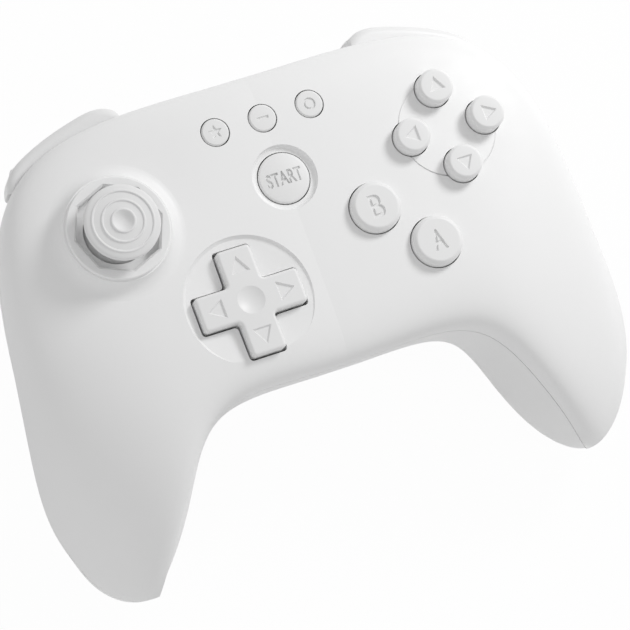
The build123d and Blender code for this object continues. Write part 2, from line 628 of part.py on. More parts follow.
# Cross pad, the ball that it rocks on and the post under the ball
ball_at = Location((pad_x, pad_y + back_shift, face_level - ball_drop))
bowl_radius = (pad_dimple ** 2 + pad_dimple_depth ** 2) / (2 * pad_dimple_depth)
bowl_at = Location((pad_x, pad_y + back_shift, face_level + pad_top + bowl_radius - pad_dimple_depth))
socket = ball_at * Sphere(ball_radius + socket_gap)
bowl = bowl_at * Sphere(bowl_radius)
with BuildPart() as dpad:
    with BuildSketch(spot(pad_x, pad_y, -pad_flange_drop)) as cross:
        Rectangle(2 * pad_reach, 2 * pad_half)
        Rectangle(2 * pad_half, 2 * pad_reach)
        fillet(cross.vertices(), pad_corner)
    extrude(amount=pad_flange_drop + pad_top)
    fillet(dpad.edges().group_by(Axis.Z)[-1], pad_edge)
    with BuildSketch(spot(pad_x, pad_y, -pad_flange_drop)):
        Circle(pad_flange)
    extrude(amount=-pad_flange_thick)
    with BuildSketch(spot(pad_x, pad_y, -pad_flange_drop)):
        Circle(pad_boss)
    extrude(amount=pad_flange_drop - pad_boss_drop)
    add([socket, bowl], mode=Mode.SUBTRACT)
dpad.part.label = "dpad"
export_step(dpad.part, "parts/dpad.step")

with BuildPart() as dpad_pivot:
    with Locations(ball_at):
        Sphere(ball_radius)
dpad_pivot.part.label = "dpad_pivot"
export_step(dpad_pivot.part, "parts/dpad_pivot.step")

with BuildPart() as dpad_post:
    with BuildSketch(spot(pad_x, pad_y, -board_drop)):
        Circle(post_radius)
    extrude(amount=board_drop - post_drop)
    add(socket, mode=Mode.SUBTRACT)
dpad_post.part.label = "dpad_post"
export_step(dpad_post.part, "parts/dpad_post.step")

# Round buttons: a cap through the face and the flange that holds it from below
flange_top = -well_drop - seat
flange_bottom = flange_top - flange_thick
button_sizes = {"a_button": (a_x, a_y, big_radius, big_rise, big_edge)}
button_sizes["b_button"] = (b_x, b_y, big_radius, big_rise, big_edge)
for name, (x, y) in c_places.items():
    button_sizes["c_" + name + "_button"] = (x, y, c_radius, c_rise, c_edge)
for name, (x, y) in small_places.items():
    button_sizes[name + "_button"] = (x, y, small_radius, small_rise, small_edge)

for name, (x, y, radius, rise, edge) in button_sizes.items():
    with BuildPart() as round_button:
        with BuildSketch(spot(x, y, flange_top)):
            Circle(radius)
        extrude(amount=rise - flange_top)
        fillet(round_button.edges().group_by(Axis.Z)[-1], edge)
        with BuildSketch(spot(x, y, flange_top)):
            Circle(radius + flange_out)
        extrude(amount=-flange_thick)
    round_button.part.label = name
    export_step(round_button.part, "parts/" + name + ".step")

start_flat = start_radius - small_edge
start_bulge = (start_flat ** 2 + start_dome ** 2) / (2 * start_dome)
start_fall = start_bulge - sqrt(start_bulge ** 2 - (start_flat / 2) ** 2)
with BuildPart() as start_button:
    with BuildSketch(Plane(origin=(0, back_shift, face_level), **upright)):
        with BuildLine():
            Polyline(
                (0, start_rise), (0, flange_bottom), (start_radius + flange_out, flange_bottom),
                (start_radius + flange_out, flange_top), (start_radius, flange_top),
                (start_radius, start_rise - start_dome - small_edge),
                (start_flat, start_rise - start_dome),
            )
            ThreePointArc(
                (start_flat, start_rise - start_dome), (start_flat / 2, start_rise - start_fall), (0, start_rise),
            )
        make_face()
    revolve(axis=Axis((0, back_shift, face_level), (0, 0, 1)))
start_button.part.label = "start_button"
export_step(start_button.part, "parts/start_button.step")

# Main board, hung on four posts of the front shell
pcb_backs = [*pcb_sets, *[share * body_length for share in pcb_back_shares]]
board_half = [(x * pcb_half, front_reach - y) for x, y in zip(pcb_shares, pcb_backs)]
with BuildPart() as main_pcb:
    with BuildSketch(spot(0, 0, -board_drop)):
        with BuildLine():
            Polyline(*board_half, *[(-x, y) for x, y in reversed(board_half)], close=True)
        make_face()
        with Locations(*top_posts):
            Circle(front_post + post_gap, mode=Mode.SUBTRACT)
        with Locations(*pcb_posts):
            Circle(pcb_screw + seat, mode=Mode.SUBTRACT)
    extrude(amount=-pcb_thick)
main_pcb.part.label = "main_pcb"
export_step(main_pcb.part, "parts/main_pcb.step")

# Rubber sheets on the board, a dome under each button and under each arm of the cross
dome_height = board_drop + flange_bottom - travel - rubber_gap
sheets = {
    "ab_membrane": [(a_x, a_y), (b_x, b_y)],
    "c_membrane": list(c_places.values()),
    "centre_membrane": [*small_places.values(), (0, 0)],
}
for name, domes in sheets.items():
    with BuildPart() as sheet:
        with BuildSketch(spot(0, 0, -board_drop)):
            with Locations(*domes):
                Circle(rubber_dome + sheet_margin)
            make_hull()
        extrude(amount=dome_base)
        with BuildSketch(spot(0, 0, -board_drop)):
            with Locations(*domes):
                Circle(rubber_dome)
        extrude(amount=dome_height)
        fillet(sheet.edges().group_by(Axis.Z)[-1], dome_round)
    sheet.part.label = name
    export_step(sheet.part, "parts/" + name + ".step")

with BuildPart() as dpad_membrane:
    with BuildSketch(spot(pad_x, pad_y, -board_drop)):
        Circle(pad_dome_out + rubber_dome + pad_sheet_margin)
        Circle(post_radius + seat, mode=Mode.SUBTRACT)
    extrude(amount=dome_base)
    with BuildSketch(spot(pad_x, pad_y, -board_drop)):
        with PolarLocations(pad_dome_out, 4):
            Circle(rubber_dome)
    extrude(amount=board_drop - pad_dome_drop)
    fillet(dpad_membrane.edges().group_by(Axis.Z)[-1], dome_round)
dpad_membrane.part.label = "dpad_membrane"
export_step(dpad_membrane.part, "parts/dpad_membrane.step")

# Screws, each head under the piece that it holds
with BuildPart() as pcb_screws:
    with BuildSketch(spot(0, 0, -board_drop - pcb_thick)):
        with Locations(*pcb_posts):
            Circle(pcb_head)
    extrude(amount=-pcb_head_thick)
    with BuildSketch(spot(0, 0, -board_drop - pcb_thick)):
        with Locations(*pcb_posts):
            Circle(pcb_screw)
    extrude(amount=pcb_thick + pcb_grip - seat)
pcb_screws.part.label = "pcb_screws"
export_step(pcb_screws.part, "parts/pcb_screws.step")

with BuildPart() as shell_screws:
    for places, split in post_groups:
        with BuildSketch(spot(0, 0, -split - screw_under)):
            with Locations(*places):
                Circle(screw_head)
        extrude(amount=-screw_head_thick)
        with BuildSketch(spot(0, 0, -split - screw_under)):
            with Locations(*places):
                Circle(screw_radius)
        extrude(amount=screw_under + screw_grip - seat)
        with BuildSketch(spot(0, 0, -split - screw_under - screw_head_thick)):
            with Locations(*places):
                Rectangle(screw_head, screw_slot)
                Rectangle(screw_slot, screw_head)
        extrude(amount=screw_head_thick / 2, mode=Mode.SUBTRACT)
shell_screws.part.label = "shell_screws"
export_step(shell_screws.part, "parts/shell_screws.step")

with BuildPart() as battery:
    with BuildSketch(spot(0, battery_y, -battery_drop)):
        RectangleRounded(battery_length, battery_width, battery_corner)
    extrude(amount=-battery_thick)
    fillet(battery.edges().group_by(Axis.Z)[-1] + battery.edges().group_by(Axis.Z)[0], battery_edge)
battery.part.label = "battery"
export_step(battery.part, "parts/battery.step")

# Right rumble motor, and the half-round weight that hangs from its shaft
motor_start = Plane(origin=(motor_x, motor_y + back_shift + motor_length / 2, face_level - motor_drop), **upright)
with BuildPart() as right_motor:
    with BuildSketch(motor_start):
        Circle(motor_radius)
    extrude(amount=motor_length)
    fillet(right_motor.edges().filter_by(GeomType.CIRCLE), motor_edge)
    with BuildSketch(motor_start.offset(motor_length)):
        Circle(motor_shaft + running)
    extrude(amount=-motor_length / 2, mode=Mode.SUBTRACT)

with BuildPart() as right_motor_weight:
    with BuildSketch(motor_start.offset(motor_length + weight_gap)):
        Circle(weight_radius)
        with Locations((0, weight_radius)):
            Rectangle(2 * weight_radius, 2 * weight_radius, mode=Mode.SUBTRACT)
        Circle(weight_boss)
    extrude(amount=weight_length)
    with BuildSketch(motor_start.offset(motor_length / 2 + seat)):
        Circle(motor_shaft)
    extrude(amount=motor_length / 2 + weight_gap)

# Charging socket under the front edge of the board
port_plane = Plane(origin=(0, port_front + back_shift, port_level), **facing_out)
with BuildPart() as usb_port:
    with BuildSketch(port_plane):
        RectangleRounded(port_width, port_height, port_corner)
    extrude(amount=-port_depth)
    with BuildSketch(port_plane):
        RectangleRounded(port_width - 2 * port_wall, port_height - 2 * port_wall, port_corner - port_wall)
    extrude(amount=port_wall - port_depth, mode=Mode.SUBTRACT)
    with BuildSketch(port_plane.offset(-port_depth)):
        Rectangle(port_tongue_width, port_tongue_height)
    extrude(amount=port_tongue_length)
usb_port.part.label = "usb_port"
export_step(usb_port.part, "parts/usb_port.step")

# Pairing button in the front edge, and the switch that it presses
pair_plane = Plane(origin=(pair_x, pair_flange_front + back_shift, face_level - pair_drop), **facing_out)
with BuildPart() as pair_button:
    with BuildSketch(pair_plane):
        Circle(pair_radius)
    extrude(amount=pair_length)
    fillet(pair_button.edges().group_by(Axis.Y)[-1], small_edge)
    with BuildSketch(pair_plane):
        Circle(pair_flange)
    extrude(amount=-pair_flange_thick)
    with BuildSketch(pair_plane.offset(-pair_flange_thick)):
        Circle(pair_stem_radius)
    extrude(amount=-pair_stem)
pair_button.part.label = "pair_button"
export_step(pair_button.part, "parts/pair_button.step")

switch_front = pair_flange_front - pair_flange_thick - pair_stem - pair_travel - seat
with BuildPart() as pair_switch:
    with BuildSketch(spot(pair_x, switch_front - pair_switch_side / 2, -board_drop - pcb_thick)):
        Rectangle(pair_switch_side, pair_switch_side)
    extrude(amount=-pair_switch_height)
pair_switch.part.label = "pair_switch"
export_step(pair_switch.part, "parts/pair_switch.step")

# Right bumper, hinged on an upright pin at its inner end
bumper_curve = [(x * bumper_half, y * bumper_reach) for x, y in bumper_shares]
lug_web = -bumper_back - lug_y
with BuildPart() as right_bumper:
    with BuildSketch(shoulder(0, 0, -bumper_bottom)):
        with BuildLine():
            Spline(*bumper_curve)
            Polyline(
                bumper_curve[-1], (bumper_half - bumper_slant, -bumper_back), (-bumper_half, -bumper_back),
                bumper_curve[0],
            )
        make_face()
    extrude(amount=bumper_bottom - bumper_top)
    fillet(right_bumper.edges().filter_by(GeomType.BSPLINE), bumper_edge)
    with BuildSketch(shoulder(lug_x, lug_y, -bumper_bottom)):
        Circle(lug_radius)
        with Locations((0, lug_web / 2 + wall / 2)):
            Rectangle(lug_radius, lug_web + wall)
    extrude(amount=bumper_bottom - lug_top)
    with BuildSketch(shoulder(lug_x, lug_y, -bumper_bottom)):
        Circle(lug_pin + running)
    extrude(amount=cut, mode=Mode.SUBTRACT)

# Right trigger, a hollow shell on two cheeks that hang on the trigger pin
outer_curve = [(y * trigger_out, -trigger_top - z * trigger_fall) for y, z in trigger_shares]
inner_curve = [(y - trigger_wall, z) for y, z in outer_curve[1:-1]]
with BuildPart() as right_trigger:
    with BuildSketch(shoulder_side(trigger_left)):
        with BuildLine():
            Spline(*outer_curve)
            Polyline(
                outer_curve[-1], (-trigger_back, -trigger_top - trigger_fall + trigger_back),
                (-trigger_back, -trigger_top - trigger_chin), (hinge_y, -hinge_drop - hinge_radius),
                (hinge_y, -hinge_drop + hinge_radius), (-trigger_back, -trigger_top), outer_curve[0],
            )
        make_face()
        with Locations((hinge_y, -hinge_drop)):
            Circle(hinge_radius)
    extrude(amount=trigger_right - trigger_left)
    with BuildSketch(shoulder_side(trigger_left + trigger_wall)):
        with BuildLine():
            Spline(*inner_curve)
            Polyline(
                inner_curve[-1], (-cut, inner_curve[-1][1]), (-cut, 0), (-trigger_web, 0),
                (-trigger_web, inner_curve[0][1]), inner_curve[0],
            )
        make_face()
    extrude(amount=trigger_right - trigger_left - 2 * trigger_wall, mode=Mode.SUBTRACT)
    with BuildSketch(shoulder_side(trigger_left)):
        with Locations((hinge_y, -hinge_drop)):
            Circle(hinge_pin + running)
    extrude(amount=trigger_right - trigger_left, mode=Mode.SUBTRACT)

with BuildPart() as right_trigger_pin:
    with BuildSketch(shoulder_side(bracket_left)):
        with Locations((hinge_y, -hinge_drop)):
            Circle(hinge_pin)
    extrude(amount=bracket_right - bracket_left)

spring_length = spring_turns * spring_pitch
spring_start = (trigger_left + trigger_right - spring_length) / 2
coil_plane = Plane(
    origin=shoulder_side(spring_start).from_local_coords((hinge_y, -hinge_drop, 0)),
    x_dir=shoulder_side(0).x_dir, z_dir=shoulder_side(0).z_dir,
)
coil = coil_plane.location * Helix(spring_pitch, spring_length, spring_radius)
with BuildPart() as right_trigger_spring:
    with BuildSketch(Plane(origin=coil @ 0, z_dir=coil % 0)):
        Circle(spring_wire)
    sweep(path=coil)

# Bracket of the right shoulder: a back plate, two ears for the trigger pin, a shelf with the bumper's
# pin, and a shelf with the bumper's switch
shelf_length = plate_back + plate_thick - shelf_front
shelf_middle = -shelf_front - shelf_length / 2
shelf_level = -bumper_bottom - seat
switch_x = bracket_right - ear_thick + shelf_side / 2
with BuildPart() as right_bracket:
    with BuildSketch(shoulder_side(bracket_left)):
        with Locations((-plate_back - plate_thick / 2, -(plate_top + plate_bottom) / 2)):
            Rectangle(plate_thick, plate_bottom - plate_top)
    extrude(amount=bracket_right - bracket_left)
    for start in (bracket_left, bracket_right - ear_thick):
        with BuildSketch(shoulder_side(start)):
            with Locations((hinge_y, -hinge_drop)):
                Circle(ear_radius)
            with Locations(((hinge_y - plate_back) / 2, -hinge_drop)):
                Rectangle(plate_back + hinge_y, 2 * ear_radius)
        extrude(amount=ear_thick)
    for middle in (lug_x, switch_x):
        with BuildSketch(shoulder(middle, shelf_middle, shelf_level)):
            Rectangle(shelf_side, shelf_length)
        extrude(amount=-plate_thick)
    with BuildSketch(shoulder(lug_x, lug_y, shelf_level)):
        Circle(lug_pin)
    extrude(amount=bumper_bottom - lug_top)
    with BuildSketch(shoulder_side(bracket_left)):
        with Locations((hinge_y, -hinge_drop)):
            Circle(hinge_pin + running)
    extrude(amount=bracket_right - bracket_left, mode=Mode.SUBTRACT)

with BuildPart() as right_bumper_switch:
    with BuildSketch(shoulder(switch_x, -shelf_front - switch_side / 2, shelf_level)):
        Rectangle(switch_side, switch_side)
    extrude(amount=switch_tall)
    with BuildSketch(Plane(
        origin=shoulder(switch_x, -plunger_front, shelf_level + switch_tall / 2).origin,
        x_dir=shoulder(0, 0, 0).x_dir, z_dir=shoulder(0, 0, 0).y_dir,
    )):
        Circle(plunger_radius)
    extrude(amount=plunger_front - shelf_front)

# Both sides alike
for label, made in (
    ("bumper", right_bumper), ("trigger", right_trigger), ("trigger_pin", right_trigger_pin),
    ("trigger_spring", right_trigger_spring), ("shoulder_bracket", right_bracket),
    ("bumper_switch", right_bumper_switch), ("motor", right_motor), ("motor_weight", right_motor_weight),
):
    for side, part in (("right_", made.part), ("left_", mirrored(made.part))):
        part.label = side + label
        export_step(part, "parts/" + side + label + ".step")
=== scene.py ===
# %% [markdown]
# # Dressing a white gamepad
# The gamepad was drawn first as exact solids: two shells, keys, a stick, shoulder keys and all that
# sits inside. This lesson loads that model, models the pieces that a hand touches again with finer
# edges and sunken marks, gives each piece a finish, and sets up a small photo studio.
# Everything is in metres, and a piece is made where it belongs, so nothing has to be fitted later.

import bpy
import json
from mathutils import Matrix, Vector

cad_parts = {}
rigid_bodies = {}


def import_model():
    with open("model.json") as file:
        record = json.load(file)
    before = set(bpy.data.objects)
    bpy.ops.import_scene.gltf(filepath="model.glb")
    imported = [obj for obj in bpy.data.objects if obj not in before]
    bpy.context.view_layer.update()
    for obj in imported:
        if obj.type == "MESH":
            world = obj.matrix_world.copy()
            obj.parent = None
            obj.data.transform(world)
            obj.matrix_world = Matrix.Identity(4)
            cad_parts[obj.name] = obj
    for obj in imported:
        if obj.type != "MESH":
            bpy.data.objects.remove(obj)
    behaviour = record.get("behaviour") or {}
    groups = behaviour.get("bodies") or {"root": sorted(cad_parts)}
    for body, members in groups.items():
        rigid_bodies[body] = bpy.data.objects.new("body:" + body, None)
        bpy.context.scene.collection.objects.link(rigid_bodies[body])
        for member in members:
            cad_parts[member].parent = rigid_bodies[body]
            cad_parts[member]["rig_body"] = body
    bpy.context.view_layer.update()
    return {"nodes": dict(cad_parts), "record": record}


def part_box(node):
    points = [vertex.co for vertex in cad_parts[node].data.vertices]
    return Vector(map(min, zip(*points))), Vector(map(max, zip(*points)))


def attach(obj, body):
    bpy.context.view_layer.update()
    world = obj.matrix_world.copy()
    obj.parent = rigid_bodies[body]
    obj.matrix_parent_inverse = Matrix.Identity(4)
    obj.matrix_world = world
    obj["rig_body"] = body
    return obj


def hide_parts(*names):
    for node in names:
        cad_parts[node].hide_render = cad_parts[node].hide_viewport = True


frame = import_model()

# %% [markdown]
# ## Working by hand in code
# Blender's operators act on whatever is selected. The loaded model comes in selected, so the first
# helper clears the selection and takes one piece. The second goes into edit mode, and the third selects
# corners, edges or faces by where they are, which is what a mouse does in the window.

# %% Select and pick
import math
import bmesh
import bpy
from mathutils import Matrix, Vector

MM = 0.001


def alone(piece=None):
    """Object mode, with only this piece selected and active."""
    if bpy.context.mode != "OBJECT":
        bpy.ops.object.mode_set(mode="OBJECT")
    bpy.ops.object.select_all(action="DESELECT")
    if piece:
        piece.select_set(True)
        bpy.context.view_layer.objects.active = piece


def open_up(piece):
    alone(piece)
    bpy.ops.object.mode_set(mode="EDIT")
    bpy.ops.mesh.select_mode(type="VERT")
    bpy.ops.mesh.select_all(action="SELECT")


def pick(piece, kind, wanted):
    """In edit mode, select the corners, edges or faces that pass a test on their middle."""
    bpy.ops.mesh.select_mode(type=kind)
    bpy.ops.mesh.select_all(action="DESELECT")
    mesh = bmesh.from_edit_mesh(piece.data)
    for part in {"VERT": mesh.verts, "EDGE": mesh.edges, "FACE": mesh.faces}[kind]:
        corners = [part] if kind == "VERT" else list(part.verts)
        middle = sum((corner.co for corner in corners), Vector()) / len(corners)
        if wanted(middle, part):
            part.select_set(True)
    bmesh.update_edit_mesh(piece.data)


def seal(piece):
    """Merge the doubled corners and turn every face outwards."""
    open_up(piece)
    bpy.ops.mesh.remove_doubles(threshold=0.001 * MM)
    bpy.ops.mesh.normals_make_consistent(inside=False)
    alone(piece)


print("helpers ready, one unit is", MM, "m")

# %% [markdown]
# ## Turned pieces
# The round keys and the stick's cap are round in plan, as if cut on a lathe. They could be cylinders
# with bevels, but then every groove is another cut. Drawing half of the outline and spinning it is
# closer to how the mould is turned: one corner is extruded along the outline, some corners are
# rounded with a corner bevel, and the line is spun round the axis.

# %% Spin an outline
def turned(name, centre, outline, rounds, steps=96):
    """Spin an outline of (radius, height) points, from the axis out and back to it.
    rounds gives the size of the round edge at some of the outline's points, by number."""
    alone()
    bpy.ops.mesh.primitive_plane_add(size=MM)
    piece = bpy.context.object
    piece.name = name
    open_up(piece)
    bpy.ops.mesh.merge(type="CENTER")
    radius, height = outline[0]
    bpy.ops.transform.translate(value=centre + Vector((radius, 0, height)))
    for next_radius, next_height in outline[1:]:
        step = (next_radius - radius, 0, next_height - height)
        bpy.ops.mesh.extrude_vertices_move(TRANSFORM_OT_translate={"value": step})
        radius, height = next_radius, next_height
    for number, size in rounds.items():
        corner = centre + Vector((outline[number][0], 0, outline[number][1]))
        pick(piece, "VERT", lambda middle, part: (middle - corner).length < 0.001 * MM)
        bpy.ops.mesh.bevel(offset=size, affect="VERTICES", segments=5)
    bpy.ops.mesh.select_all(action="SELECT")
    bpy.ops.mesh.spin(steps=steps, angle=2 * math.pi, center=(centre.x, centre.y, 0), axis=(0, 0, 1))
    seal(piece)
    return piece


print("outlines are spun in 96 steps")

# %% [markdown]
# ## Sunken marks
# The letters and arrows are pressed into the keys, about half a millimetre deep and with sloping walls,
# so light from the upper right leaves a dark line on one side of each stroke and a bright one on the
# other. A painted mark would miss that. Each mark is therefore a small solid tool that is taken out of
# the key with a Boolean modifier, and then thrown away.

# %% Cut with a tool
mark_depth, mark_slope, mark_corner = 0.45 * MM, 0.3 * MM, 0.12 * MM
capital_share = 0.7  # of the font's size


def merge_with(piece, tool, operation, careful=True):
    """Cut a tool out of a piece, or weld it on, and delete the tool. The careful way is slower, and
    is needed where a tool's own walls may cross, as letters' do."""
    alone(piece)
    bpy.ops.object.modifier_add(type="BOOLEAN")
    change = piece.modifiers[-1]
    change.operation = operation
    change.object = tool
    change.solver = "EXACT"
    change.use_self = careful
    change.use_hole_tolerant = careful
    bpy.ops.object.modifier_apply(modifier=change.name)
    alone(tool)
    bpy.ops.object.delete()


def letter_tool(words, tall, narrow, place, depth, slope, offset):
    """Letters of Blender's own plain font, as a solid that reaches depth below a place.
    The lowest part of its walls slopes by as much as slope, and offset thins or thickens it."""
    alone()
    bpy.ops.object.text_add()
    text = bpy.context.object
    text.data.body = words
    text.data.size = tall / capital_share
    text.data.extrude = depth
    text.data.bevel_depth = slope
    text.data.bevel_resolution = 0
    text.data.offset = offset
    text.data.resolution_u = 6
    bpy.ops.object.convert(target="MESH")
    tool = bpy.context.object
    bpy.ops.object.origin_set(type="ORIGIN_GEOMETRY", center="BOUNDS")
    tool.scale = (narrow, 1, 1)
    tool.location = place + Vector((0, 0, slope))
    bpy.ops.object.transform_apply(location=True, rotation=True, scale=True)
    seal(tool)
    print("letters", words, "in mm", [round(size / MM, 2) for size in tool.dimensions])
    return tool


def prism_tool(sides, radius, place, depth, draw_in):
    """A prism, its first corner towards +Y, that has its radius at a place. Below it the prism
    draws in, to that share of the radius at its lower end."""
    alone()
    bpy.ops.mesh.primitive_cone_add(
        vertices=sides, radius1=radius * draw_in, radius2=radius * (2 - draw_in), depth=2 * depth)
    tool = bpy.context.object
    open_up(tool)
    bpy.ops.transform.translate(value=place)
    alone(tool)
    return tool


def round_upright_edges(tool, size):
    open_up(tool)
    pick(tool, "EDGE", lambda middle, edge: abs(edge.verts[0].co.z - edge.verts[1].co.z) > 0.01 * MM)
    bpy.ops.mesh.bevel(offset=size, segments=3)
    alone(tool)


print("marks are", mark_depth / MM, "mm deep")

# %% [markdown]
# ## Handing a piece over
# A finished piece is shaded smooth except at its real edges, rides on the body that it moves with, and
# stands for the drawn solid that it replaces. Weighted normals keep the flat tops flat beside their
# narrow round edges, which is what makes a small bevel look moulded.

# %% Finish a piece
made_pieces = {}


def hand_over(piece, node, slot):
    alone(piece)
    bpy.ops.object.shade_smooth_by_angle(angle=math.radians(32))
    bpy.ops.object.modifier_add(type="WEIGHTED_NORMAL")
    piece.modifiers[-1].keep_sharp = True
    bpy.ops.object.modifier_apply(modifier=piece.modifiers[-1].name)
    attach(piece, frame["nodes"][node]["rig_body"])
    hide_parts(node)
    made_pieces[piece.name] = slot
    print(piece.name, "faces", len(piece.data.polygons))


# %% [markdown]
# ## Round keys
# Nine of the ten round keys are the same kind of piece: a cap that passes through the face, with a
# small slope round its top, and a thin flange that the face holds down. Their places and sizes are read
# from the drawn solids, so a key can't drift from its hole. They differ in radius, height and slope.

# %% Make the round keys
flange_out, flange_thick, flange_round = 1.2 * MM, 1.0 * MM, 0.2 * MM
corner_share = 0.3  # how much of a key's slope its two round corners take


def round_key(node, slope):
    low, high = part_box(node)
    radius = (high.x - low.x) / 2 - flange_out
    top = high.z - low.z
    base = Vector(((low.x + high.x) / 2, (low.y + high.y) / 2, low.z))
    outline = [
        (0, top), (radius - slope, top), (radius, top - slope), (radius, flange_thick),
        (radius + flange_out, flange_thick), (radius + flange_out, 0), (0, 0),
    ]
    rounds = {1: corner_share * slope, 2: corner_share * slope, 4: flange_round}
    key = turned(node.replace("_button", "_key"), base, outline, rounds)
    return key, base + Vector((0, 0, top))


key_slopes = {"a_button": 0.9, "b_button": 0.9, "star_button": 0.3, "minus_button": 0.3, "home_button": 0.3}
for way in ("up", "down", "left", "right"):
    key_slopes["c_" + way + "_button"] = 0.6
keys = {node: round_key(node, slope * MM) for node, slope in key_slopes.items()}
print(len(keys), "round keys")

# %% [markdown]
# The two big keys carry the plain letters A and B, tall and narrow. Blender's own font is wider, so the
# letters are squeezed sideways, and thinned a little because the sloping walls widen them again.

# %% Letter the two big keys
letter_slope, letter_offset = 0.2 * MM, -0.06 * MM
for node, letter, narrow, tall in (("a_button", "A", 0.66, 5.0), ("b_button", "B", 0.84, 5.6)):
    key, top = keys[node]
    letter_cut = letter_tool(letter, tall * MM, narrow, top, mark_depth, letter_slope, letter_offset)
    merge_with(key, letter_cut, "DIFFERENCE")
    hand_over(key, node, "keys")

# %% [markdown]
# The four small keys of the diamond carry arrows: three-sided hollows whose point faces away from the
# middle of the diamond. One prism with three sides is turned a quarter each time.

# %% Arrow the diamond
quarter = math.pi / 2
key_arrow = 2.45 * MM
arrow_turns = {"up": 0, "left": quarter, "down": 2 * quarter, "right": -quarter}


def arrow_tool(radius, place, way):
    """Three sides whose walls slope alike: the radius shrinks by twice the slope."""
    tool = prism_tool(3, radius, Vector(), mark_depth, 1 - 2 * mark_slope / radius)
    open_up(tool)
    bpy.ops.transform.rotate(value=-arrow_turns[way], orient_axis="Z", center_override=(0, 0, 0))
    bpy.ops.transform.translate(value=place)
    round_upright_edges(tool, mark_corner)
    return tool


for way in arrow_turns:
    node = "c_" + way + "_button"
    key, top = keys[node]
    merge_with(key, arrow_tool(key_arrow, top, way), "DIFFERENCE")
    hand_over(key, node, "keys")

# %% [markdown]
# The three little keys have plain signs: a star with five points, a bar and a ring. The star is a
# ten-sided prism with every other corner pulled in, and the ring is a round prism whose two ends are
# inset and then bridged, which opens a hole through it.

# %% Star, bar and ring
sign_depth = 0.35 * MM
star_radius, star_waist, star_floor = 1.9 * MM, 0.45, 0.8
bar_long, bar_wide, bar_floor = 3.2 * MM, 1.0 * MM, (0.88, 0.45, 1)
ring_radius, ring_width = 1.5 * MM, 0.5 * MM

key, top = keys["star_button"]
star = prism_tool(10, star_radius, top, sign_depth, star_floor)
open_up(star)
tenth = math.pi / 5
pick(star, "VERT", lambda middle, part: round(
    (math.atan2(middle.y - top.y, middle.x - top.x) - math.pi / 2) / tenth) % 2 == 1)
bpy.ops.transform.resize(value=(star_waist, star_waist, 1), center_override=top)
alone(star)
merge_with(key, star, "DIFFERENCE")
hand_over(key, "star_button", "keys")

key, top = keys["minus_button"]
alone()
bpy.ops.mesh.primitive_cube_add(size=1)
bar = bpy.context.object
open_up(bar)
bpy.ops.transform.resize(value=(bar_long, bar_wide, 2 * sign_depth))
pick(bar, "VERT", lambda middle, part: middle.z < 0)
bpy.ops.transform.resize(value=bar_floor, center_override=(0, 0, 0))
bpy.ops.mesh.select_all(action="SELECT")
bpy.ops.transform.translate(value=top)
round_upright_edges(bar, mark_corner)
merge_with(key, bar, "DIFFERENCE")
hand_over(key, "minus_button", "keys")

key, top = keys["home_button"]
ring = prism_tool(48, ring_radius, top, sign_depth, 1)
open_up(ring)
pick(ring, "FACE", lambda middle, face: abs(face.normal.z) > 0.9)
bpy.ops.mesh.inset(thickness=ring_width, use_individual=True)
bpy.ops.mesh.bridge_edge_loops()
seal(ring)
merge_with(key, ring, "DIFFERENCE")
hand_over(key, "home_button", "keys")

# %% [markdown]
# ## The big middle key
# It is flush with the face and slightly domed, in a dish that lets a thumb find it. The dome is part of
# the outline: a few points that fall with the square of the radius. Its word is cut as the letters are.

# %% Make the domed key
low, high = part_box("start_button")
radius = (high.x - low.x) / 2 - flange_out
top = high.z - low.z
dome, shoulder = 0.45 * MM, 0.3 * MM
flat = radius - shoulder
domed = [(flat * share, top - dome * share ** 2) for share in (0, 0.15, 0.3, 0.45, 0.6, 0.75, 0.9, 1)]
outline = domed + [
    (radius, top - dome - shoulder), (radius, flange_thick), (radius + flange_out, flange_thick),
    (radius + flange_out, 0), (0, 0),
]
base = Vector(((low.x + high.x) / 2, (low.y + high.y) / 2, low.z))
rim_round, side_round = 0.2 * MM, 0.15 * MM
start_key = turned("start_key", base, outline, {7: rim_round, 8: side_round})
word_tall, word_narrow = 3.3 * MM, 0.66
word_depth, word_slope, word_offset = 0.65 * MM, 0.15 * MM, -0.04 * MM
crown = base + Vector((0, 0, top))
word = letter_tool("START", word_tall, word_narrow, crown, word_depth, word_slope, word_offset)
merge_with(start_key, word, "DIFFERENCE")
hand_over(start_key, "start_button", "keys")

# %% [markdown]
# ## The cross pad
# One moulding with four arms, a round hollow in the middle, an arrow on each arm, and under the face a
# wide flange with a socket for the ball that it rocks on. A square plane is pulled out to a cross,
# raised, and rounded: first the upright edges, then the rim.

# %% Pull out the cross
low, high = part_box("dpad")
pad = (low + high) / 2
rim = high.z
arm_reach, arm_half, arm_corner, arm_round = 13.15 * MM, 4.3 * MM, 1.0 * MM, 0.8 * MM
arm_rise, arm_root = 6.1 * MM, 0.3 * MM
flange_top = rim - arm_rise
alone()
bpy.ops.mesh.primitive_plane_add(size=2 * arm_half, location=(pad.x, pad.y, flange_top - arm_root))
cross = bpy.context.object
cross.name = "cross_pad"
bpy.ops.object.transform_apply(location=True, rotation=True, scale=True)
open_up(cross)
for dx, dy in ((1, 0), (-1, 0), (0, 1), (0, -1)):
    side = Vector((pad.x + dx * arm_half, pad.y + dy * arm_half))
    pick(cross, "EDGE", lambda middle, edge: (middle.to_2d() - side).length < 0.01 * MM)
    reach = arm_reach - arm_half
    bpy.ops.mesh.extrude_region_move(TRANSFORM_OT_translate={"value": (dx * reach, dy * reach, 0)})
bpy.ops.mesh.select_all(action="SELECT")
bpy.ops.mesh.dissolve_limited(angle_limit=0.01)
bpy.ops.mesh.select_all(action="SELECT")
bpy.ops.mesh.extrude_region_move(TRANSFORM_OT_translate={"value": (0, 0, rim - flange_top + arm_root)})
seal(cross)
